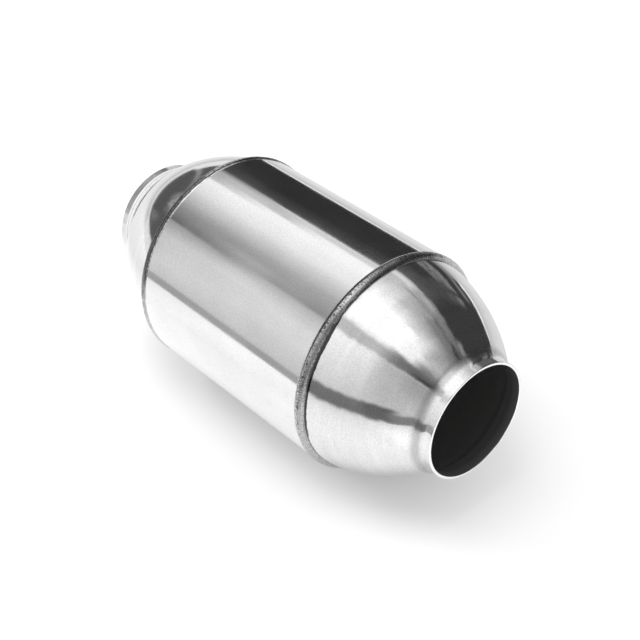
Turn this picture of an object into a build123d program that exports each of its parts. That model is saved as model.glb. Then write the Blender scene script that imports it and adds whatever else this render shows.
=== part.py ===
from build123d import *
import os
from math import cos, floor, pi, sin

os.makedirs("parts", exist_ok=True)

# Catalytic converter: a round can, two domed end cones and a metal honeycomb.
# Millimetres. The gas flows along X and the origin is the middle of the can's axis.

# Can, rolled from sheet
can_outer_diameter = 120.0
can_wall = 1.5
can_length = 122.0

# End cones, spun from sheet, with a collar for the pipe
cone_wall = 1.5
cone_length = 62.0
neck_outer_diameter = 63.5
collar_length = 7.5
dome_bow = 4.4
dome_start = 2.4
shoulder_bend = 12.0
throat_bend = 9.0
mouth_chamfer = 0.3
spigot_length = 6.0
spigot_clearance = 0.15

# Girth welds between the can's edges and the cones
weld_lap = 0.8
weld_reach = 4.4
weld_crown = 1.9

# Mantle tube, held between the two spigots
mantle_wall = 1.5
mantle_fit = 0.1
mantle_end_gap = 0.3

# Honeycomb, a flat and a corrugated foil wound together
foil_recess = 4.5
foil_thickness = 0.2
foil_seat = 0.05
layer_pitch = 5.0
wave_length = 10.0
core_radius = 1.9
flats_per_turn = 24
thinnest_layer = 1.6

can_radius = can_outer_diameter / 2
can_edge = can_length / 2
neck_radius = neck_outer_diameter / 2
spigot_radius = can_radius - can_wall - spigot_clearance
mantle_radius = can_radius - can_wall - mantle_fit
mantle_length = can_length - 2 * (spigot_length + mantle_end_gap)
foil_length = mantle_length - 2 * foil_recess
outer_layer_radius = mantle_radius - mantle_wall - foil_seat - foil_thickness / 2


def tube(outer_radius, wall, length):
    """Straight tube along X, centred on the origin."""
    ring = Plane.YZ * (Circle(outer_radius) - Circle(outer_radius - wall))
    return extrude(ring, amount=length / 2, both=True)


# Front end. Its profiles lie in the XY plane, with Y as the radius.

def cone_skin():
    """Outer line of the cone's sheet, from the end of the spigot to the mouth."""
    spigot_end = Vector(can_edge - spigot_length, spigot_radius)
    shoulder = Vector(can_edge + dome_start, spigot_radius)
    throat = Vector(can_edge + cone_length - collar_length, neck_radius)
    mouth = Vector(can_edge + cone_length, neck_radius)
    chord = throat - shoulder
    outward = Vector(-chord.Y, chord.X).normalized()
    crown = (shoulder + throat) / 2 + outward * dome_bow
    with BuildLine() as line:
        Line(spigot_end, shoulder)
        ThreePointArc(shoulder, crown, throat)
        Line(throat, mouth)
        fillet(line.vertices().sort_by_distance(shoulder)[0], shoulder_bend)
        fillet(line.vertices().sort_by_distance(throat)[0], throat_bend)
    return line.wire()


def cone_section():
    """The sheet's thickness lies inside its outer line, and the mouth is deburred."""
    outline = offset(cone_skin(), cone_wall, side=Side.RIGHT, closed=True)
    section = make_face(outline.edges())
    return chamfer(section.vertices().group_by(Axis.X)[-1], mouth_chamfer)


def weld_section():
    """Fillet bead that laps the can's edge and lies on the cone's shoulder."""
    on_can = Vector(can_edge - weld_lap, can_radius)
    on_cone = Vector(can_edge + weld_reach, spigot_radius - cone_wall / 2)
    chord = on_cone - on_can
    outward = Vector(-chord.Y, chord.X).normalized()
    crown = (on_can + on_cone) / 2 + outward * weld_crown
    outline = Curve() + [
        ThreePointArc(on_can, crown, on_cone),
        Polyline(on_cone, (can_edge, on_cone.Y), (can_edge, can_radius), on_can),
    ]
    return make_face(outline.edges()) - cone_section()


# Honeycomb. Its foils are drawn in end view and run the length of the pack.

def layer_radius(angle):
    """Even spiral whose last turn lies against the mantle's bore."""
    return min(core_radius + layer_pitch * angle / (2 * pi), outer_layer_radius)


def flat_radius(angle):
    """Distance from the axis to the flat foil's faceted middle line."""
    step = 2 * pi / flats_per_turn
    start = floor(angle / step) * step
    near, far = layer_radius(start), layer_radius(start + step)
    past = angle - start
    return near * far * sin(step) / (near * sin(past) + far * sin(step - past))


def end_view_point(radius, angle):
    return Vector(radius * cos(angle), radius * sin(angle))


def foil(points):
    """Strip of foil along X whose middle line in end view passes through the points."""
    one_side = []
    other_side = []
    for index, point in enumerate(points):
        arriving = point - points[index - 1] if index else points[1] - point
        leaving = points[index + 1] - point if index + 1 < len(points) else arriving
        arriving, leaving = arriving.normalized(), leaving.normalized()
        bisector = Vector(-arriving.Y - leaving.Y, arriving.X + leaving.X)
        mitre = bisector * foil_thickness / 2 / (1 + arriving.dot(leaving))
        one_side.append(point + mitre)
        other_side.append(point - mitre)
    outline = Polyline(*one_side, *reversed(other_side), close=True)
    return extrude(Plane.YZ * make_face(outline), amount=foil_length / 2, both=True)


def flat_foil():
    """Ends where the turn below leaves no room between itself and the last turn."""
    spiral_turns = (outer_layer_radius - core_radius - foil_thickness - foil_seat) / layer_pitch
    flats = floor((spiral_turns + 1) * flats_per_turn)
    angles = [2 * pi * index / flats_per_turn for index in range(flats + 1)]
    return foil([end_view_point(flat_radius(angle), angle) for angle in angles])


def crest_reach(radius, facing_radius, half_wave):
    """How far the foil's sharp crest stands out from its middle line."""
    leg = end_view_point(facing_radius, half_wave) - Vector(radius, 0)
    return foil_thickness / 2 * leg.length / leg.Y


def corrugated_foil():
    """Waves whose crests lie on the flat foil's turns, inner and outer by turns."""
    points = []
    angle = 2 * pi / flats_per_turn
    inner, outer = flat_radius(angle), flat_radius(angle + 2 * pi)
    while outer - inner > thinnest_layer:
        half_wave = wave_length / (inner + outer)
        if len(points) % 2:
            radius = outer - foil_thickness / 2 - crest_reach(outer, inner, half_wave) - foil_seat
        else:
            radius = inner + foil_thickness / 2 + crest_reach(inner, outer, half_wave) + foil_seat
        points.append(end_view_point(radius, angle))
        angle += half_wave
        inner, outer = flat_radius(angle), flat_radius(angle + 2 * pi)
    return foil(points)


cone = revolve(cone_section(), Axis.X)
weld = revolve(weld_section(), Axis.X)

pieces = {
    "casing_can": tube(can_radius, can_wall, can_length),
    "cone_front": cone,
    "cone_rear": mirror(cone, Plane.YZ),
    "weld_front": weld,
    "weld_rear": mirror(weld, Plane.YZ),
    "substrate_mantle": tube(mantle_radius, mantle_wall, mantle_length),
    "foil_flat": flat_foil(),
    "foil_corrugated": corrugated_foil(),
}

for name, piece in pieces.items():
    export_step(piece, f"parts/{name}.step")
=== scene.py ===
import random
from math import atan2, cos, hypot, pi, radians, sin, sqrt

import bmesh
import bpy
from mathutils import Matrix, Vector


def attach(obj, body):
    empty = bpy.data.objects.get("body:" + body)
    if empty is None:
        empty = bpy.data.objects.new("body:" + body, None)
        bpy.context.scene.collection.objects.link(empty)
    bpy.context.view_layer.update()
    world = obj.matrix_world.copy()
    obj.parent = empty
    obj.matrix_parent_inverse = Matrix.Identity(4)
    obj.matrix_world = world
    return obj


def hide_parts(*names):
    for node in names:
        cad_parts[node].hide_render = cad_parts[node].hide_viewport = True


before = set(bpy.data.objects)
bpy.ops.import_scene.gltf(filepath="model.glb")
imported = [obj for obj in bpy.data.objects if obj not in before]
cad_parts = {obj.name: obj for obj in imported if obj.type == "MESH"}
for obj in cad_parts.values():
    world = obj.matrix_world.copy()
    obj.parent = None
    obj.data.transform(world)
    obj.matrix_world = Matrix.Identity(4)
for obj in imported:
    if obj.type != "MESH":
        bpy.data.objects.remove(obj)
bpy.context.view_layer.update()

# Sizes in metres, the same as the solids have
MM = 0.001
CAN_RADIUS = 60.0 * MM
CAN_WALL = 1.5 * MM
CAN_EDGE = 61.0 * MM
SKIN = 1.5 * MM
SPIGOT_END = 55.0 * MM
SPIGOT_RADIUS = 58.35 * MM
SHOULDER_X = 63.4 * MM
THROAT_X = 115.5 * MM
MOUTH_X = 123.0 * MM
NECK_RADIUS = 31.75 * MM
DOME_BOW = 4.4 * MM
SHOULDER_BEND = 12.0 * MM
THROAT_BEND = 9.0 * MM
EDGE_ROUND = 0.3 * MM
EDGE_HOLD = 0.2 * MM

# Weld beads
TOE_ON_CAN = (60.2 * MM, 60.0 * MM)
TOE_ON_CONE = (65.4 * MM, 57.6 * MM)
BEAD_HEIGHT = 1.75 * MM
RIPPLE_PITCH = 1.45 * MM
RIPPLE_HEIGHT = 0.014 * MM
BEAD_UNEVENNESS = 0.10 * MM

# Honeycomb, at its real cell size
FOIL_END = 50.2 * MM
FOIL_THICKNESS = 0.09 * MM
CORE_RADIUS = 1.6 * MM
PACK_RADIUS = 56.7 * MM
LAYER_PITCH = 1.45 * MM
WAVE_LENGTH = 2.6 * MM
THINNEST_LAYER = 0.3 * MM

TURN_SEGMENTS = 384
EDGE_STEPS = 4
SHOULDER_STEPS = 8
DOME_STEPS = 30
THROAT_STEPS = 14
SPIRAL_SEGMENTS = 72
WAVE_SEGMENTS = 6
SHARP_ANGLE = radians(32)


# Small tools for shader trees. A value is a number, a colour or another node's socket.

EVENLY = (1, 1, 1)


def feed(tree, socket, value):
    if isinstance(value, bpy.types.NodeSocket):
        tree.links.new(value, socket)
    else:
        socket.default_value = value


def add_node(tree, kind, inputs=None, **settings):
    made = tree.nodes.new(kind)
    for key, value in settings.items():
        setattr(made, key, value)
    for key, value in (inputs or {}).items():
        feed(tree, made.inputs[key], value)
    return made


def calc(tree, operation, *values):
    inputs = dict(enumerate(values))
    return add_node(tree, "ShaderNodeMath", inputs, operation=operation).outputs[0]


def multiply(tree, first, *others):
    product = first
    for other in others:
        product = calc(tree, "MULTIPLY", product, other)
    return product


def remap(tree, value, start, end, low, high, kind="LINEAR"):
    """The value's way from start to end, as the way from low to high, clamped."""
    inputs = {"Value": value, "From Min": start, "From Max": end, "To Min": low, "To Max": high}
    return add_node(tree, "ShaderNodeMapRange", inputs, interpolation_type=kind).outputs[0]


def inside(tree, value, start, end, edge):
    """1 between start and end, 0 outside, with soft edges."""
    middle, half = (start + end) / 2, (end - start) / 2
    away = calc(tree, "ABSOLUTE", calc(tree, "SUBTRACT", value, middle))
    return remap(tree, away, half - edge, half + edge, 1.0, 0.0, "SMOOTHSTEP")


def blend(tree, amount, low, high):
    made = add_node(tree, "ShaderNodeMix", {0: amount, 2: low, 3: high}, data_type="FLOAT")
    return made.outputs[0]


def tint(tree, amount, low, high):
    made = add_node(tree, "ShaderNodeMix", data_type="RGBA")
    feed(tree, made.inputs[0], amount)
    feed(tree, made.inputs[6], low)
    feed(tree, made.inputs[7], high)
    return made.outputs[2]


def object_axes(tree):
    """X, Y and Z of the object's own coordinates."""
    place = add_node(tree, "ShaderNodeTexCoord").outputs["Object"]
    return add_node(tree, "ShaderNodeSeparateXYZ", {"Vector": place}).outputs


def grain(tree, stretch, scale, detail=3.0, roughness=0.55):
    """Noise over the object's own coordinates, with a separate scale along each axis."""
    place = add_node(tree, "ShaderNodeTexCoord").outputs["Object"]
    mapped = add_node(tree, "ShaderNodeMapping", {"Vector": place, "Scale": stretch}).outputs[0]
    inputs = {"Vector": mapped, "Scale": scale, "Detail": detail, "Roughness": roughness}
    return add_node(tree, "ShaderNodeTexNoise", inputs).outputs[0]


def bump(tree, height, distance, strength, under=None):
    inputs = {"Height": height, "Distance": distance, "Strength": strength}
    if under:
        inputs["Normal"] = under
    return add_node(tree, "ShaderNodeBump", inputs).outputs[0]


def grey(level):
    return (level, level, level, 1.0)


def new_material(name):
    material = bpy.data.materials.new(name)
    material.use_nodes = True
    tree = material.node_tree
    return material, tree, tree.nodes["Principled BSDF"]


def set_surface(tree, shader, metallic, colour, roughness, normal):
    feed(tree, shader.inputs["Metallic"], metallic)
    feed(tree, shader.inputs["Base Color"], colour)
    feed(tree, shader.inputs["Roughness"], roughness)
    feed(tree, shader.inputs["Normal"], normal)


# Camera, at the photo's place

CAMERA_PLACE = Vector((0.4431, -0.3835, 0.4230))
CAMERA_BACKWARDS = Vector((0.60231, -0.53505, 0.59240))
CAMERA_LENS = 76.96
CAMERA_SENSOR = 36.0
CAMERA_CLIP = 0.01


def aim(thing, backwards):
    """Turns a camera or a lamp to look against the given direction."""
    thing.rotation_mode = "QUATERNION"
    thing.rotation_quaternion = (-backwards).to_track_quat("-Z", "Y")


def make_camera():
    data = bpy.data.cameras.new("photo_camera")
    data.sensor_width = CAMERA_SENSOR
    data.lens = CAMERA_LENS
    data.clip_start = CAMERA_CLIP
    camera = bpy.data.objects.new("photo_camera", data)
    bpy.context.scene.collection.objects.link(camera)
    camera.location = CAMERA_PLACE
    aim(camera, CAMERA_BACKWARDS)
    bpy.context.scene.camera = camera


# Studio. The metal sees strips of light and shade that run along X over the object.
# A strip's height is an angle: 0 is the far horizon, 90 overhead, 180 the near horizon.
# Along X it goes from -1, straight off the rear end, to 1, straight off the front end.

def strip(
    start, end, light, light_end=None, edge=1.0, lap=0.0, along=(-2.0, 2.0), along_edge=0.05,
    ragged=False,
):
    """Its light changes evenly from start to end. The lap runs on under the next strip."""
    return {
        "start": start,
        "end": end,
        "light": light,
        "light_end": light if light_end is None else light_end,
        "edge": edge,
        "lap": lap,
        "along": along,
        "along_edge": along_edge,
        "ragged": ragged,
    }


# What the can sees
OVER_THE_CAN = [
    strip(-95.0, -3.0, 1.00, edge=3.0),
    strip(0.5, 54.0, 0.033),
    strip(36.0, 54.5, 0.033, 0.080),
    strip(54.0, 58.0, 0.22, along=(-2.0, -0.66), along_edge=0.02),
    strip(56.5, 72.0, 0.44, 0.55, edge=1.5, along=(-2.0, -0.675), along_edge=0.015),
    strip(56.0, 66.0, 0.56, along=(-0.675, -0.640), along_edge=0.015),
    strip(56.0, 62.0, 0.72, along=(-0.640, 2.0), along_edge=0.015),
    strip(74.0, 92.0, 1.10, 0.94, edge=2.0, lap=6.0),
    strip(92.0, 112.0, 0.88, 0.46, edge=4.0, lap=8.0),
    strip(112.0, 133.5, 0.39, 0.13, edge=5.0, lap=3.0, along=(-2.0, -0.655), along_edge=0.03),
    strip(112.0, 131.5, 0.46, 0.29, edge=5.0, lap=3.0, along=(-0.655, 2.0), along_edge=0.03),
    strip(133.0, 149.0, 0.40, 0.70, edge=1.5, lap=8.0, along=(-2.0, -0.655), along_edge=0.03),
    strip(131.0, 149.0, 0.52, 0.80, edge=1.5, lap=8.0, along=(-0.655, 2.0), along_edge=0.03),
    strip(149.0, 169.0, 0.73, 0.78, edge=4.0, lap=8.0),
    strip(149.0, 169.0, 0.84, 0.82, edge=4.0, lap=8.0, along=(-0.640, 2.0), along_edge=0.03),
    strip(169.0, 193.5, 0.78, 0.63, edge=4.0, lap=3.0),
    strip(193.5, 202.3, 0.39, edge=0.8),
]

# What the front cone and the front collar see
OVER_THE_CONE = [
    strip(-95.0, -3.0, 0.92, edge=3.0),
    strip(50.0, 66.0, 0.57, 0.66, edge=1.2, lap=4.0),
    strip(66.0, 88.0, 0.68, 1.27, edge=2.0, lap=4.0),
    strip(50.0, 75.0, 0.25, 0.60, edge=1.2, lap=3.0, along=(0.00, 2.0), along_edge=0.10),
    strip(75.0, 90.0, 0.64, 1.27, edge=2.0, along=(0.00, 2.0), along_edge=0.10),
    strip(50.0, 66.0, 0.20, 0.24, edge=1.5, lap=3.0, along=(0.26, 2.0), along_edge=0.10),
    strip(66.0, 98.0, 0.26, 1.20, edge=1.5, along=(0.26, 2.0), along_edge=0.10),
    strip(50.0, 96.0, 0.04, 0.58, edge=1.5, lap=3.0, along=(0.56, 2.0), along_edge=0.08),
    strip(88.0, 116.0, 1.28, edge=2.0, along=(-2.0, 0.40), along_edge=0.06),
    strip(96.0, 116.0, 0.56, 0.30, edge=2.0, lap=3.0, along=(0.62, 2.0), along_edge=0.10),
    strip(132.0, 183.0, 1.13, 0.72, edge=2.0, lap=3.0),
    strip(132.0, 183.0, 1.05, 0.67, edge=2.0, lap=3.0, along=(0.06, 2.0), along_edge=0.10),
    strip(132.0, 184.0, 0.56, 0.60, edge=2.0, lap=3.0, along=(0.32, 2.0), along_edge=0.14),
    strip(132.0, 188.5, 0.38, 0.66, edge=2.0, lap=3.0, along=(0.60, 2.0), along_edge=0.12),
    strip(120.0, 132.0, 0.60, edge=2.5, along=(-0.46, 2.0), along_edge=0.03),
    strip(124.0, 137.0, 0.80, edge=4.0, along=(-2.0, -0.46), along_edge=0.03),
    strip(116.0, 131.0, 0.22, edge=3.0, along=(0.36, 2.0), along_edge=0.14),
    strip(107.0, 129.0, 0.30, 0.03, edge=2.5, along=(0.62, 2.0), along_edge=0.10),
    strip(121.5, 123.5, 0.16, edge=0.8, along=(0.52, 0.72), along_edge=0.04),
    strip(1.0, 50.5, 0.048, edge=1.2),
    strip(-0.5, 20.0, 0.048, edge=1.2, along=(0.02, 2.0), along_edge=0.08),
    strip(37.0, 50.5, 0.055, 0.13, edge=1.2, along=(-2.0, 0.06), along_edge=0.10),
    strip(-2.0, 8.0, 0.48, 0.16, edge=1.5, along=(-0.46, -0.30), along_edge=0.03),
    strip(5.0, 9.5, 0.22, edge=0.8, along=(-0.30, -0.12), along_edge=0.03, ragged=True),
    strip(-12.0, 39.0, 0.13, edge=7.0, lap=3.0, along=(-2.0, -0.46), along_edge=0.02),
    strip(41.0, 54.0, 0.55, edge=5.0, along=(-2.0, -0.46), along_edge=0.02),
    strip(15.0, 27.5, 0.27, edge=1.2, along=(-0.43, -0.120), along_edge=0.012, ragged=True),
    strip(15.5, 28.5, 0.30, edge=1.2, along=(-0.074, -0.006), along_edge=0.008, ragged=True),
    strip(20.0, 44.0, 0.085, edge=2.0, along=(-0.20, 0.02), along_edge=0.03, ragged=True),
    strip(53.0, 57.0, 0.84, edge=0.8, along=(-2.0, -0.08), along_edge=0.06),
    strip(53.0, 57.0, 0.46, edge=0.8, along=(-0.08, 0.20), along_edge=0.06),
    strip(53.0, 57.0, 0.25, edge=0.8, along=(0.20, 0.36), along_edge=0.06),
    strip(59.0, 61.5, 0.34, edge=0.8, along=(-0.10, 0.24), along_edge=0.06),
    strip(57.5, 61.0, 0.17, edge=0.8, along=(0.24, 0.50), along_edge=0.06),
    strip(43.0, 49.5, 0.28, edge=0.8, along=(0.46, 2.0), along_edge=0.03),
    strip(54.5, 58.5, 0.06, edge=0.8, along=(0.50, 2.0), along_edge=0.04),
    strip(192.0, 215.0, 0.70, 1.05, edge=3.0, along=(-0.46, 0.46), along_edge=0.04),
    strip(192.0, 218.0, 0.50, 1.00, edge=3.0, along=(0.46, 2.0), along_edge=0.04),
    strip(182.8, 197.6, 0.20, 0.18, edge=2.5, along=(-0.46, 0.38), along_edge=0.06),
    strip(183.0, 197.0, 0.36, edge=2.0, along=(-2.0, -0.46), along_edge=0.03),
    strip(182.5, 200.5, 0.13, 0.16, edge=2.5, along=(0.28, 0.57), along_edge=0.06),
    strip(188.5, 203.5, 0.25, edge=3.0, along=(0.50, 2.0), along_edge=0.05),
]

# What the rear cone and the rear collar see
OVER_THE_REAR = [
    strip(-200.0, 400.0, 0.90),
    strip(44.0, 166.0, 0.66, edge=4.0, along=(-0.84, 2.0), along_edge=0.02),
    strip(40.0, 176.0, 0.14, edge=4.0, along=(-0.728, 2.0), along_edge=0.008),
    strip(18.0, 184.0, 0.105, edge=1.5, along=(-0.91, -0.84), along_edge=0.02),
    strip(7.0, 180.0, 0.105, edge=1.5, along=(-2.0, -0.91), along_edge=0.01),
    strip(86.0, 126.0, 0.38, edge=8.0, along=(-0.958, -0.915), along_edge=0.012, ragged=True),
    strip(48.0, 100.0, 0.21, edge=8.0, along=(-0.912, -0.860), along_edge=0.010, ragged=True),
    strip(138.0, 166.0, 0.20, edge=6.0, along=(-2.0, -0.965), along_edge=0.010, ragged=True),
]

# Each list holds from here on, and the next one takes over where the two limits end.
FORWARD = (-0.550, -0.530)
REARWARD = (-0.706, -0.714)

SOFT_LIGHT = 0.84
BACKDROP = 1.0
STUDIO_WHITE = 1.12
METAL_ON_FLOOR = 0.02
HORIZON_WANDER = 1.2
LIGHT_WANDER = 0.03


def hang_strips(tree, strips, height, along, tatters):
    light = STUDIO_WHITE
    for each in strips:
        across = inside(tree, height, each["start"], each["end"] + each["lap"], each["edge"])
        lengthways = inside(tree, along, *each["along"], each["along_edge"])
        mask = calc(tree, "MULTIPLY", across, lengthways)
        if each["ragged"]:
            mask = calc(tree, "MULTIPLY", mask, tatters)
        level = each["light"]
        if each["light_end"] != level:
            level = remap(tree, height, each["start"], each["end"], level, each["light_end"])
        light = blend(tree, mask, light, level)
    return light


def ray_kinds(tree):
    """Whether a ray comes from the camera, off metal or glass, or from the matt floor before."""
    rays = add_node(tree, "ShaderNodeLightPath")
    mirrored = calc(
        tree, "MAXIMUM", rays.outputs["Is Glossy Ray"], rays.outputs["Is Transmission Ray"]
    )
    scattered = calc(tree, "MINIMUM", rays.outputs["Diffuse Depth"], 1.0)
    return rays.outputs["Is Camera Ray"], mirrored, scattered


def sky_noise(tree, direction, stretch, detail):
    mapped = add_node(tree, "ShaderNodeMapping", {"Vector": direction, "Scale": stretch})
    inputs = {"Vector": mapped.outputs[0], "Scale": 1.0, "Detail": detail}
    return add_node(tree, "ShaderNodeTexNoise", inputs).outputs[0]


def make_world():
    world = bpy.data.worlds.new("studio")
    bpy.context.scene.world = world
    world.use_nodes = True
    tree = world.node_tree
    direction = add_node(tree, "ShaderNodeTexCoord").outputs["Generated"]
    axes = add_node(tree, "ShaderNodeSeparateXYZ", {"Vector": direction})
    along = axes.outputs["X"]
    turned = calc(tree, "ARCTAN2", axes.outputs["Z"], axes.outputs["Y"])
    height = calc(tree, "WRAP", calc(tree, "DEGREES", turned), 270.0, -90.0)

    clouds = sky_noise(tree, direction, (14.0, 4.0, 4.0), 3.0)
    fine_patches = sky_noise(tree, direction, (30.0, 30.0, 30.0), 4.0)
    broad_patches = sky_noise(tree, direction, (22.0, 14.0, 14.0), 4.0)
    torn = remap(tree, fine_patches, 0.38, 0.54, 0.2, 1.0)
    torn_at_rear = remap(tree, broad_patches, 0.43, 0.55, 0.3, 1.0)
    wander = remap(tree, clouds, 0.3, 0.7, -HORIZON_WANDER, HORIZON_WANDER)
    height = calc(tree, "ADD", height, wander)

    can_light = hang_strips(tree, OVER_THE_CAN, height, along, torn)
    cone_light = hang_strips(tree, OVER_THE_CONE, height, along, torn)
    rear_light = hang_strips(tree, OVER_THE_REAR, height, along, torn_at_rear)
    forward = remap(tree, along, *FORWARD, 0.0, 1.0, "SMOOTHSTEP")
    rearward = remap(tree, along, *REARWARD, 0.0, 1.0, "SMOOTHSTEP")
    studio = blend(tree, rearward, blend(tree, forward, can_light, cone_light), rear_light)
    uneven = remap(tree, clouds, 0.3, 0.7, 1.0 - LIGHT_WANDER, 1.0 + LIGHT_WANDER)
    studio = calc(tree, "MULTIPLY", studio, uneven)

    camera_ray, mirrored, scattered = ray_kinds(tree)
    lit = blend(tree, camera_ray, SOFT_LIGHT, BACKDROP)
    strength = blend(tree, mirrored, lit, blend(tree, scattered, studio, METAL_ON_FLOOR))
    background = tree.nodes["Background"]
    feed(tree, background.inputs["Color"], grey(1.0))
    feed(tree, background.inputs["Strength"], strength)


# Floor. Its near edge runs off slantwise before the front end, so that the lowest strips show.

FLOOR_Z = -0.0609
FLOOR_SIDE = 3.0
FLOOR_FAR_EDGE = 4.0
FLOOR_NEAR_EDGE = -0.253
FLOOR_EDGE_SLANT = 0.20
FLOOR_EDGE_FADE = 0.15
FLOOR_GLOW = 0.346
FLOOR_GLOW_IN_METAL = 0.33
FLOOR_DARK_UNDER_METAL = 0.85


def glow_in_metal(tree, mirrored, scattered):
    """Glow that only the metal shows: on the near side, stronger close to can and mouth."""
    axes = object_axes(tree)
    x, y = axes["X"], axes["Y"]
    slant = calc(tree, "MULTIPLY", calc(tree, "MAXIMUM", x, 0.0), FLOOR_EDGE_SLANT)
    from_edge = calc(tree, "SUBTRACT", y, slant)
    fade_end = FLOOR_NEAR_EDGE + FLOOR_EDGE_FADE
    before_cone = remap(tree, from_edge, FLOOR_NEAR_EDGE, fade_end, 0.0, 1.0)
    before_can = remap(tree, y, -0.120, -0.085, 0.62, 1.0)
    glow = blend(tree, remap(tree, x, -0.04, 0.0, 0.0, 1.0), before_can, before_cone)
    under_can = multiply(
        tree,
        remap(tree, y, -0.085, -0.045, 0.0, 0.46),
        remap(tree, x, 0.03, 0.06, 1.0, 0.0),
    )
    glow = calc(tree, "MULTIPLY_ADD", glow, under_can, glow)

    near_side = multiply(
        tree,
        remap(tree, y, 0.0, 0.1, 1.0, 0.0),
        remap(tree, x, -0.25, -0.13, 0.0, 1.0),
    )
    before_mouth = multiply(
        tree,
        remap(tree, x, 0.135, 0.160, 0.0, 1.0),
        remap(tree, y, 0.15, 0.30, 1.0, 0.0),
    )
    under_rim = multiply(tree, before_mouth, remap(tree, y, 0.07, 0.14, 0.80, 0.0))
    zones = calc(tree, "ADD", calc(tree, "MAXIMUM", near_side, before_mouth), under_rim)
    unscattered = calc(tree, "SUBTRACT", 1.0, scattered)
    return multiply(tree, glow, zones, mirrored, unscattered, FLOOR_GLOW_IN_METAL)


def white_card():
    material, tree, shader = new_material("white_card")
    camera_ray, mirrored, scattered = ray_kinds(tree)
    fibres = grain(tree, EVENLY, 900.0, 4.0)
    card = tint(tree, fibres, grey(0.68), grey(0.72))
    under_metal = multiply(tree, mirrored, scattered, FLOOR_DARK_UNDER_METAL)
    feed(tree, shader.inputs["Base Color"], tint(tree, under_metal, card, grey(0.0)))
    feed(tree, shader.inputs["Roughness"], 1.0)
    feed(tree, shader.inputs["Specular IOR Level"], 0.0)
    glow = blend(tree, camera_ray, glow_in_metal(tree, mirrored, scattered), FLOOR_GLOW)
    feed(tree, shader.inputs["Emission Color"], grey(1.0))
    feed(tree, shader.inputs["Emission Strength"], glow)
    return material


def make_floor():
    mesh = bpy.data.meshes.new("floor")
    slanted_edge = FLOOR_NEAR_EDGE + FLOOR_EDGE_SLANT * FLOOR_SIDE
    corners = [
        (-FLOOR_SIDE, FLOOR_NEAR_EDGE),
        (0.0, FLOOR_NEAR_EDGE),
        (FLOOR_SIDE, slanted_edge),
        (FLOOR_SIDE, FLOOR_FAR_EDGE),
        (-FLOOR_SIDE, FLOOR_FAR_EDGE),
    ]
    mesh.from_pydata([(x, y, FLOOR_Z) for x, y in corners], [], [tuple(range(len(corners)))])
    mesh.materials.append(white_card())
    floor = bpy.data.objects.new("floor", mesh)
    bpy.context.scene.collection.objects.link(floor)


# Lamps. The metal sees the strips, not the lamps.

LAMP_SIZE = 0.60
LAMP_DISTANCE = 1.2
LAMPS = {
    "overhead_lamp": (Vector((0.0, -0.26, 0.97)), 3.6),
    "side_lamp": (Vector((-0.73, -0.42, 0.53)), 5.7),
}


def make_lamp(name, towards, watts):
    data = bpy.data.lights.new(name, "AREA")
    data.shape = "DISK"
    data.size = LAMP_SIZE
    data.energy = watts
    lamp = bpy.data.objects.new(name, data)
    bpy.context.scene.collection.objects.link(lamp)
    lamp.location = towards.normalized() * LAMP_DISTANCE
    aim(lamp, towards)
    lamp.visible_camera = False
    lamp.visible_glossy = False


# Materials. Places along X are measured from the middle, towards either end.

FRONT_BEND = (112.8 * MM, 116.8 * MM)
REAR_BEND = (-118.8 * MM, -114.2 * MM)
# Painted dark line in the rear bend.
REAR_SHADE_LINE = (-117.4 * MM, -116.6 * MM)
CROWN_PITS = (61.9 * MM, 63.5 * MM)
# Bands and lines of painted shade on the beads.
SHADED_CROWN_BAND = (62.8 * MM, 64.9 * MM)
FRONT_TOE_LINE = (61.1 * MM, 61.8 * MM)
REAR_TOE_LINE = (60.9 * MM, 61.7 * MM)
RIGHT_SIDE = (26 * MM, 40 * MM)
BORDER_WANDER = 0.2 * MM
SAND_SCALE = 1300.0
SAND_CONTRAST = 2.4
BARE_METAL = 1.0
BLACK = grey(0.0)


def sand_grain(tree):
    return grain(tree, EVENLY, SAND_SCALE, 3.0, 0.6)


def with_sand(tree, sand, under):
    """A slower pattern with the polishing grit's speckle on it."""
    return calc(tree, "MULTIPLY_ADD", calc(tree, "SUBTRACT", sand, 0.5), SAND_CONTRAST, under)


def can_steel():
    """Polished sheet: nearly a mirror, with faint long waves and fine polishing lines."""
    material, tree, shader = new_material("can_steel")
    lines = grain(tree, (1, 0.02, 0.02), 2600.0, 4.0)
    haze = grain(tree, EVENLY, 45.0, 3.0)
    waves = grain(tree, (0.4, 1, 1), 22.0, 1.0)
    sand = sand_grain(tree)
    colour = tint(tree, with_sand(tree, sand, haze), grey(0.76), grey(0.90))
    roughness = remap(tree, haze, 0.35, 0.65, 0.07, 0.11)
    rippled = bump(tree, waves, 0.12 * MM, 0.35)
    brushed = bump(tree, lines, 0.004 * MM, 0.35, rippled)
    normal = bump(tree, sand, 0.01 * MM, 0.25, brushed)
    set_surface(tree, shader, BARE_METAL, colour, roughness, normal)
    return material


def from_middle(tree, x):
    """Distance along X from the middle, with a slow wander for hand-made borders."""
    slow = grain(tree, EVENLY, 260.0, 2.0)
    wander = remap(tree, slow, 0.3, 0.7, -BORDER_WANDER, BORDER_WANDER)
    return calc(tree, "ADD", calc(tree, "ABSOLUTE", x), wander)


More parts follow.
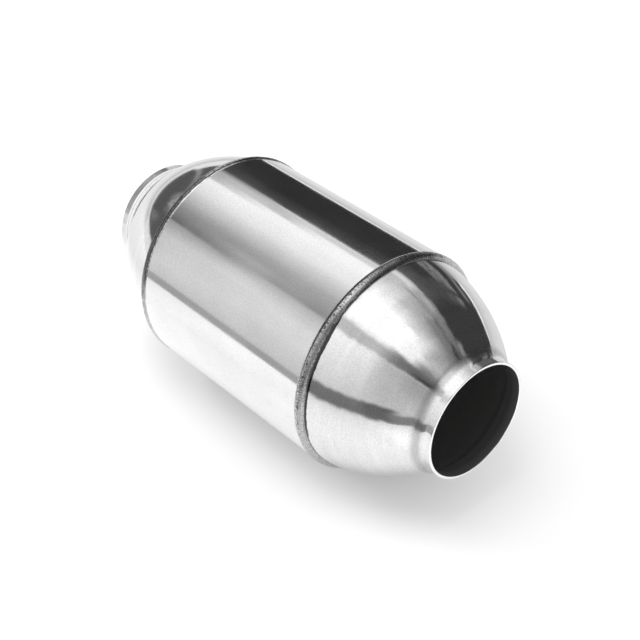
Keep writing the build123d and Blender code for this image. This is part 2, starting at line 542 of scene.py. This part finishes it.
def painted_shade_beside_bead(tree, axes):
    """Painted shade: a dark line on the cone beside the bead, widest on the near side above the
    middle, and a fainter band over the top.
    """
    y, z = axes["Y"], axes["Z"]
    near_side = remap(tree, y, -30 * MM, -44 * MM, 65.3 * MM, 66.6 * MM, "SMOOTHSTEP")
    step_down = remap(tree, z, -15.0 * MM, -12.5 * MM, 66.1 * MM, 66.8 * MM)
    underneath = remap(tree, z, -26 * MM, -40 * MM, 65.3 * MM, 66.4 * MM)
    reach = calc(tree, "MAXIMUM", calc(tree, "MINIMUM", near_side, step_down), underneath)
    offset = from_middle(tree, axes["X"])
    past = calc(tree, "SUBTRACT", offset, reach)
    line = remap(tree, past, -0.2 * MM, 0.2 * MM, 1.0, 0.0, "SMOOTHSTEP")

    above = remap(tree, z, -18 * MM, -7 * MM, 0.80, 1.0)
    below = remap(tree, z, -26 * MM, -40 * MM, 0.80, 1.0)
    right = remap(tree, y, *RIGHT_SIDE, 1.0, 0.45)
    line = multiply(tree, line, calc(tree, "MAXIMUM", above, below), right)
    halo = multiply(
        tree,
        remap(tree, offset, 65.2 * MM, 66.4 * MM, 0.40, 0.0, "SMOOTHSTEP"),
        remap(tree, z, 40 * MM, 48 * MM, 0.0, 1.0),
        right,
    )
    return calc(tree, "MAXIMUM", line, halo)


def cone_steel():
    """Spun sheet, brushed round and round. The bends at the collars are rougher; the front bend
    is also darkened with painted shade, the rear bend is mostly not metallic and carries a
    painted dark line, and painted shade runs beside each bead.
    """
    material, tree, shader = new_material("cone_steel")
    axes = object_axes(tree)
    front_bend = inside(tree, axes["X"], *FRONT_BEND, 1.4 * MM)
    rear_bend = inside(tree, axes["X"], *REAR_BEND, 0.6 * MM)
    rear_shade_line = inside(tree, axes["X"], *REAR_SHADE_LINE, 0.3 * MM)
    lines = grain(tree, (1, 0.03, 0.03), 1500.0, 5.0, 0.65)
    broad = grain(tree, (1, 0.08, 0.08), 260.0, 3.0)
    sand = sand_grain(tree)

    metallic = calc(tree, "MULTIPLY_ADD", rear_bend, -0.85, 1.0)
    colour = tint(tree, with_sand(tree, sand, broad), grey(0.71), grey(0.91))
    # Painted shade in the front bend, and a painted dark line in the rear bend.
    colour = tint(tree, multiply(tree, front_bend, 0.32), colour, BLACK)
    colour = tint(tree, multiply(tree, rear_shade_line, 0.45), colour, BLACK)
    # Painted shade beside each bead.
    colour = tint(tree, painted_shade_beside_bead(tree, axes), colour, grey(0.055))
    roughness = remap(tree, lines, 0.3, 0.7, 0.06, 0.10)
    roughness = calc(tree, "MULTIPLY_ADD", front_bend, 0.12, roughness)
    roughness = calc(tree, "MULTIPLY_ADD", rear_bend, 0.30, roughness)
    spun = bump(tree, lines, 0.01 * MM, 0.20)
    normal = bump(tree, sand, 0.01 * MM, 0.30, spun)
    set_surface(tree, shader, metallic, colour, roughness, normal)

    tangent = add_node(tree, "ShaderNodeTangent", direction_type="RADIAL", axis="X")
    feed(tree, shader.inputs["Tangent"], tangent.outputs[0])
    feed(tree, shader.inputs["Anisotropic"], 0.7)
    feed(tree, shader.inputs["Anisotropic Rotation"], 0.25)
    return material


def cone_inside():
    """Inner face: matt, with painted shade that darkens it towards the mouth, and painted light
    that lifts the last few millimetres before the rim, most on the +Y side.
    """
    material, tree, shader = new_material("cone_inside")
    axes = object_axes(tree)
    depth = calc(tree, "ABSOLUTE", axes["X"])
    soot = grain(tree, EVENLY, 180.0, 5.0)
    deep = tint(tree, soot, grey(0.20), grey(0.25))
    # Painted shade: the collar's inside is much darker than the deep inside.
    collar = tint(tree, soot, grey(0.052), grey(0.068))
    # Painted light: the rim's inner edge is lighter, most on the +Y side.
    rim = multiply(
        tree,
        remap(tree, depth, 118 * MM, 123 * MM, 0.0, 1.0),
        remap(tree, axes["Y"], -12 * MM, 20 * MM, 0.35, 1.0),
    )
    collar = tint(tree, rim, collar, grey(0.090))
    painted_mouth_shade = remap(tree, depth, 108 * MM, 117.5 * MM, 0.0, 1.0)
    colour = tint(tree, painted_mouth_shade, deep, collar)
    roughness = remap(tree, soot, 0.3, 0.7, 0.75, 0.9)
    set_surface(tree, shader, 0.0, colour, roughness, bump(tree, soot, 0.1 * MM, 0.3))
    feed(tree, shader.inputs["Specular IOR Level"], 0.15)
    return material


def bead_pits(tree, offset, z):
    """Chain of pits along the crown, sparse on the underside."""
    blots = grain(tree, EVENLY, 820.0, 3.0, 0.6)
    return multiply(
        tree,
        remap(tree, blots, 0.51, 0.58, 0.0, 1.0, "SMOOTHSTEP"),
        inside(tree, offset, *CROWN_PITS, 0.4 * MM),
        remap(tree, z, -22 * MM, -6 * MM, 0.25, 1.0),
    )


def painted_toe_shade(tree, offset, y, z, in_front):
    """Painted shade along the toe on the cone, and in front along the toe on the can as well."""
    cone_toe = multiply(
        tree,
        remap(tree, offset, 64.7 * MM, 65.1 * MM, 0.0, 1.0, "SMOOTHSTEP"),
        remap(tree, z, -18 * MM, -7 * MM, 0.15, 1.0),
        remap(tree, y, -59 * MM, -56 * MM, 0.20, 1.0),
        remap(tree, y, -38 * MM, -22 * MM, 0.95, 0.70),
        remap(tree, y, *RIGHT_SIDE, 1.0, 0.30),
    )
    can_toe = multiply(
        tree,
        inside(tree, offset, *FRONT_TOE_LINE, 0.1 * MM),
        remap(tree, z, 0.0, 36 * MM, 0.15, 1.0),
        in_front,
    )
    return calc(tree, "MAXIMUM", cone_toe, can_toe)


def painted_rear_bead_shade(tree, offset, y, z, in_front):
    """Painted shade on the rear bead: a line beside the can, and its upper near side."""
    line = multiply(
        tree,
        inside(tree, offset, *REAR_TOE_LINE, 0.1 * MM),
        remap(tree, z, 0.0, 30 * MM, 0.30, 1.0),
    )
    shaded = multiply(
        tree,
        remap(tree, offset, 61.6 * MM, 61.8 * MM, 0.0, 0.80),
        remap(tree, z, -4 * MM, 26 * MM, 0.0, 1.0),
        remap(tree, y, -6 * MM, -18 * MM, 0.0, 1.0),
    )
    behind = calc(tree, "SUBTRACT", 1.0, in_front)
    return multiply(tree, calc(tree, "MAXIMUM", line, shaded), behind)


def bead_metal(tree, patch, offset, y, z, in_front):
    """Mottled metal between the painted toe shade, with painted shade: darker on the near side,
    on its near crown and over the front bead's top.
    """
    low_near = tint(tree, patch, grey(0.42), grey(0.76))
    high_near = tint(tree, patch, grey(0.24), grey(0.66))
    far = tint(tree, patch, grey(0.56), grey(0.90))
    # Painted shade: darker on the near side, more so higher up, on the near crown and over the
    # front bead's top.
    near_side = remap(tree, y, -30 * MM, -42 * MM, 0.0, 1.0)
    near = tint(tree, remap(tree, z, -10 * MM, 12 * MM, 0.0, 1.0), low_near, high_near)
    metal = tint(tree, near_side, far, near)
    painted_flank_shade = multiply(
        tree,
        inside(tree, offset, *SHADED_CROWN_BAND, 0.4 * MM),
        near_side,
        remap(tree, z, 4 * MM, 16 * MM, 0.70, 1.0),
        0.6,
    )
    metal = tint(tree, painted_flank_shade, metal, grey(0.30))
    top = multiply(
        tree,
        remap(tree, z, 34 * MM, 48 * MM, 0.0, 1.0),
        remap(tree, y, -34 * MM, -12 * MM, 0.0, 0.75),
        remap(tree, y, 18 * MM, 34 * MM, 1.0, 0.0),
        in_front,
    )
    return tint(tree, top, metal, grey(0.24))


def weld_steel():
    """Bare bead with a chain of pits on its crown, and painted shade along its toes and over its
    near side.
    """
    material, tree, shader = new_material("weld_steel")
    axes = object_axes(tree)
    y, z = axes["Y"], axes["Z"]
    offset = from_middle(tree, axes["X"])
    in_front = remap(tree, axes["X"], -10 * MM, 10 * MM, 0.0, 1.0)
    mottle = grain(tree, EVENLY, 1100.0, 4.0, 0.65)
    patch = remap(tree, mottle, 0.38, 0.62, 0.0, 1.0)
    pits = bead_pits(tree, offset, z)
    front_toe_shade = painted_toe_shade(tree, offset, y, z, in_front)
    rear_shade = painted_rear_bead_shade(tree, offset, y, z, in_front)

    metal = bead_metal(tree, patch, offset, y, z, in_front)
    pitted = tint(tree, multiply(tree, pits, 0.85), metal, grey(0.08))
    # Painted shade along the toes, over the pitted metal.
    colour = tint(tree, calc(tree, "MAXIMUM", front_toe_shade, rear_shade), pitted, grey(0.07))
    roughness = remap(tree, mottle, 0.3, 0.7, 0.16, 0.32)
    relief = calc(tree, "SUBTRACT", multiply(tree, patch, 0.25), pits)
    normal = bump(tree, relief, 0.12 * MM, 0.6)
    set_surface(tree, shader, BARE_METAL, colour, roughness, normal)
    return material


def mantle_steel():
    """Mill finish, drawn lengthways."""
    material, tree, shader = new_material("mantle_steel")
    lines = grain(tree, (0.05, 1, 1), 900.0, 4.0)
    colour = tint(tree, lines, grey(0.45), grey(0.56))
    roughness = remap(tree, lines, 0.3, 0.7, 0.35, 0.5)
    set_surface(tree, shader, BARE_METAL, colour, roughness, bump(tree, lines, 0.02 * MM, 0.4))
    return material


def coated_foil():
    """Foil under a matt, slightly uneven catalyst coat."""
    material, tree, shader = new_material("coated_foil")
    coat = grain(tree, EVENLY, 600.0, 4.0)
    pale = (0.54, 0.50, 0.45, 1.0)
    dark = (0.42, 0.39, 0.35, 1.0)
    colour = tint(tree, coat, dark, pale)
    roughness = remap(tree, coat, 0.3, 0.7, 0.5, 0.7)
    set_surface(tree, shader, 0.2, colour, roughness, bump(tree, coat, 0.03 * MM, 0.4))
    return material


# Pieces turned about the X axis

def piece_from(name, vertices, faces, materials, slots=None):
    mesh = bpy.data.meshes.new(name)
    mesh.from_pydata(vertices, [], faces)
    for material in materials:
        mesh.materials.append(material)
    if slots:
        mesh.polygons.foreach_set("material_index", slots)
    mesh.polygons.foreach_set("use_smooth", [True] * len(faces))
    shaped = bmesh.new()
    shaped.from_mesh(mesh)
    bmesh.ops.recalc_face_normals(shaped, faces=shaped.faces)
    shaped.to_mesh(mesh)
    shaped.free()
    mesh.set_sharp_from_angle(angle=SHARP_ANGLE)
    made = bpy.data.objects.new(name, mesh)
    bpy.context.scene.collection.objects.link(made)
    return made


def ring_piece(name, rings, materials, slots=None):
    """Closed ring of equal closed sections. Slots gives each side of a section a material."""
    count = len(rings[0])
    vertices = [point for section in rings for point in section]
    faces = []
    face_slots = []
    for turn in range(len(rings)):
        here = turn * count
        there = (turn + 1) % len(rings) * count
        for index in range(count):
            after = (index + 1) % count
            faces.append((here + index, here + after, there + after, there + index))
            face_slots.append(slots[index] if slots else 0)
    return piece_from(name, vertices, faces, materials, face_slots)


def around(x, radius, angle):
    return (x, radius * cos(angle), radius * sin(angle))


def turned_piece(name, outline, side, materials, slots=None):
    """The outline's (x, radius) points turned about X; side -1 mirrors them to the rear."""
    rings = []
    for turn in range(TURN_SEGMENTS):
        angle = 2 * pi * turn / TURN_SEGMENTS
        rings.append([around(side * x, radius, angle) for x, radius in outline])
    return ring_piece(name, rings, materials, slots)


def arc_angles(start, end, steps):
    return [start + (end - start) * step / steps for step in range(steps + 1)]


def rounded_edge(x, outer, inner):
    """Section of a sheet's deburred edge at x, from its outer to its inner radius.

    Its first and last points keep the shading of the straight sheet before them straight.
    """
    held = x - EDGE_ROUND - EDGE_HOLD
    points = [(held, outer)]
    for angle in arc_angles(0, pi / 2, EDGE_STEPS):
        points.append((x - EDGE_ROUND * (1 - sin(angle)), outer - EDGE_ROUND * (1 - cos(angle))))
    for angle in arc_angles(pi / 2, 0, EDGE_STEPS):
        points.append((x - EDGE_ROUND * (1 - sin(angle)), inner + EDGE_ROUND * (1 - cos(angle))))
    return points + [(held, inner)]


def make_can(steel):
    inner = CAN_RADIUS - CAN_WALL
    front = rounded_edge(CAN_EDGE, CAN_RADIUS, inner)
    rear = [(-x, radius) for x, radius in reversed(front)]
    can = turned_piece("can_shell", front + rear, 1, [steel])
    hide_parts("casing_can")
    return can


def cone_line():
    """Points (x, radius, lean) of the cone's outer line; lean is the normal's angle to Y."""
    chord_x, chord_r = THROAT_X - SHOULDER_X, NECK_RADIUS - SPIGOT_RADIUS
    chord = hypot(chord_x, chord_r)
    dome = (chord * chord / 4 + DOME_BOW * DOME_BOW) / (2 * DOME_BOW)
    centre_x = (SHOULDER_X + THROAT_X) / 2 + chord_r / chord * (dome - DOME_BOW)
    centre_r = (SPIGOT_RADIUS + NECK_RADIUS) / 2 - chord_x / chord * (dome - DOME_BOW)

    bend_r = SPIGOT_RADIUS - SHOULDER_BEND - centre_r
    bend_x = sqrt((dome - SHOULDER_BEND) ** 2 - bend_r**2)
    flare_r = NECK_RADIUS + THROAT_BEND - centre_r
    flare_x = sqrt((dome + THROAT_BEND) ** 2 - flare_r**2)
    lean_start = atan2(bend_x, bend_r)
    lean_end = atan2(flare_x, flare_r)

    points = [(SPIGOT_END, SPIGOT_RADIUS, 0.0)]
    for lean in arc_angles(0, lean_start, SHOULDER_STEPS):
        x = centre_x + bend_x + SHOULDER_BEND * sin(lean)
        points.append((x, centre_r + bend_r + SHOULDER_BEND * cos(lean), lean))
    for lean in arc_angles(lean_start, lean_end, DOME_STEPS)[1:]:
        points.append((centre_x + dome * sin(lean), centre_r + dome * cos(lean), lean))
    for lean in arc_angles(lean_end, 0, THROAT_STEPS)[1:]:
        x = centre_x + flare_x - THROAT_BEND * sin(lean)
        points.append((x, centre_r + flare_r - THROAT_BEND * cos(lean), lean))
    points.append((points[-1][0] + EDGE_HOLD, NECK_RADIUS, 0.0))
    return points


def make_cone(name, node, side, steel, painted_mouth_shade):
    line = cone_line()
    outer = [(x, radius) for x, radius, _ in line]
    inner = [(x - SKIN * sin(lean), radius - SKIN * cos(lean)) for x, radius, lean in line]
    rim = rounded_edge(MOUTH_X, NECK_RADIUS, NECK_RADIUS - SKIN)
    outline = outer + rim + inner[::-1]
    bright_sides = len(outer) + len(rim) - 2
    slots = [0] * bright_sides + [1] * (len(outline) - bright_sides)
    cone = turned_piece(name, outline, side, [steel, painted_mouth_shade], slots)
    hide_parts(node)
    return cone


# Weld beads. Sections run from the can's side over the crown to the cone's side.

SECTION_STEPS = 16
SECTIONS_PER_RIPPLE = 9
ARCH_POWER = 0.8
RIPPLE_LAG = 1.9
SECOND_RIPPLE = 0.35
FEWEST_WAVES = 3
MOST_WIDTH_WAVES = 60
MOST_HEIGHT_WAVES = 40
WAVES_MIXED = 7
FRONT_SEED = 11
REAR_SEED = 23


def slow_waves(seed, highest):
    """Whole-number waves round a turn, for a hand-made unevenness that closes on itself."""
    chance = random.Random(seed)
    waves = []
    for _ in range(WAVES_MIXED):
        number = chance.randint(FEWEST_WAVES, highest)
        waves.append((number, chance.uniform(0, 2 * pi)))
    return waves


def unevenness(waves, angle):
    return sum(sin(number * angle + phase) for number, phase in waves) / len(waves)


def bead_section(angle, width_waves, height_waves, ripples):
    """The crown of each ripple lags behind its toes, as in a bead that was laid round."""
    chord_x, chord_r = TOE_ON_CONE[0] - TOE_ON_CAN[0], TOE_ON_CONE[1] - TOE_ON_CAN[1]
    chord = hypot(chord_x, chord_r)
    outward = (-chord_r / chord, chord_x / chord)
    lengthways = (chord_x / chord, chord_r / chord)
    swell = BEAD_UNEVENNESS * unevenness(width_waves, angle)
    rise = BEAD_UNEVENNESS * unevenness(height_waves, angle)
    section = []
    for step in range(SECTION_STEPS + 1):
        way = step / SECTION_STEPS
        arch = sin(pi * way)
        beat = ripples * angle + RIPPLE_LAG * arch
        ripple = sin(beat) + SECOND_RIPPLE * sin(2 * beat)
        out = (BEAD_HEIGHT + rise) * arch**ARCH_POWER + RIPPLE_HEIGHT * ripple * arch
        slide = swell * (2 * way - 1)
        x = TOE_ON_CAN[0] + chord_x * way + outward[0] * out + lengthways[0] * slide
        radius = TOE_ON_CAN[1] + chord_r * way + outward[1] * out + lengthways[1] * slide
        section.append((x, radius))
    return section + [(CAN_EDGE, TOE_ON_CONE[1])]


def make_bead(name, node, side, steel, seed):
    width_waves = slow_waves(seed, MOST_WIDTH_WAVES)
    height_waves = slow_waves(seed + 1, MOST_HEIGHT_WAVES)
    ripples = round(2 * pi * CAN_RADIUS / RIPPLE_PITCH)
    turns = ripples * SECTIONS_PER_RIPPLE
    rings = []
    for turn in range(turns):
        angle = 2 * pi * turn / turns
        section = bead_section(angle, width_waves, height_waves, ripples)
        rings.append([around(side * x, radius, angle) for x, radius in section])
    bead = ring_piece(name, rings, [steel])
    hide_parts(node)
    return bead


# Honeycomb

def spiral_radius(angle):
    return min(CORE_RADIUS + LAYER_PITCH * angle / (2 * pi), PACK_RADIUS)


def foil_piece(name, middle, steel):
    """Strip of foil whose middle line in end view passes through the given points."""
    vertices = []
    faces = []
    for index, (y, z) in enumerate(middle):
        before = middle[max(index - 1, 0)]
        after = middle[min(index + 1, len(middle) - 1)]
        run_y, run_z = after[0] - before[0], after[1] - before[1]
        run = hypot(run_y, run_z)
        off_y = -run_z / run * FOIL_THICKNESS / 2
        off_z = run_y / run * FOIL_THICKNESS / 2
        for x in (-FOIL_END, FOIL_END):
            vertices.append((x, y + off_y, z + off_z))
            vertices.append((x, y - off_y, z - off_z))
        if index:
            a, b = 4 * index - 4, 4 * index
            faces.append((a, b, b + 2, a + 2))
            faces.append((a + 1, a + 3, b + 3, b + 1))
            faces.append((a, a + 1, b + 1, b))
            faces.append((a + 2, b + 2, b + 3, a + 3))
    mesh = bpy.data.meshes.new(name)
    mesh.from_pydata(vertices, [], faces)
    mesh.materials.append(steel)
    foil = bpy.data.objects.new(name, mesh)
    bpy.context.scene.collection.objects.link(foil)
    return foil


def flat_foil_line(last):
    step = 2 * pi / SPIRAL_SEGMENTS
    angles = [step * index for index in range(int((last + 2 * pi) / step))]
    return [(spiral_radius(a) * cos(a), spiral_radius(a) * sin(a)) for a in angles]


def waved_foil_line(last):
    """Waves that touch the flat foil's turns on both sides, until no room is left."""
    points = []
    angle = 0.0
    while angle < last:
        low = spiral_radius(angle) + FOIL_THICKNESS
        high = spiral_radius(angle + 2 * pi) - FOIL_THICKNESS
        if high - low < THINNEST_LAYER:
            break
        phase = 2 * pi * len(points) / WAVE_SEGMENTS
        radius = (low + high) / 2 + (high - low) / 2 * sin(phase)
        points.append((radius * cos(angle), radius * sin(angle)))
        angle += WAVE_LENGTH / WAVE_SEGMENTS / ((low + high) / 2)
    return points


def make_honeycomb(steel):
    last = 2 * pi * (PACK_RADIUS - CORE_RADIUS) / LAYER_PITCH
    flat = foil_piece("fine_flat_foil", flat_foil_line(last), steel)
    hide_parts("foil_flat")
    waved = foil_piece("fine_corrugated_foil", waved_foil_line(last), steel)
    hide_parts("foil_corrugated")
    return [flat, waved]


make_camera()
make_world()
make_floor()
for lamp_name, (lamp_towards, lamp_watts) in LAMPS.items():
    make_lamp(lamp_name, lamp_towards, lamp_watts)

spun_steel = cone_steel()
inside_with_painted_shade = cone_inside()
bead_steel = weld_steel()
parts = [
    make_can(can_steel()),
    make_cone("front_cone", "cone_front", 1, spun_steel, inside_with_painted_shade),
    make_cone("rear_cone", "cone_rear", -1, spun_steel, inside_with_painted_shade),
    make_bead("front_bead", "weld_front", 1, bead_steel, FRONT_SEED),
    make_bead("rear_bead", "weld_rear", -1, bead_steel, REAR_SEED),
]
parts += make_honeycomb(coated_foil())
for part in parts:
    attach(part, "root")

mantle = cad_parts["substrate_mantle"]
mantle.data.materials.clear()
mantle.data.materials.append(mantle_steel())

bpy.context.scene.view_settings.view_transform = "Standard"
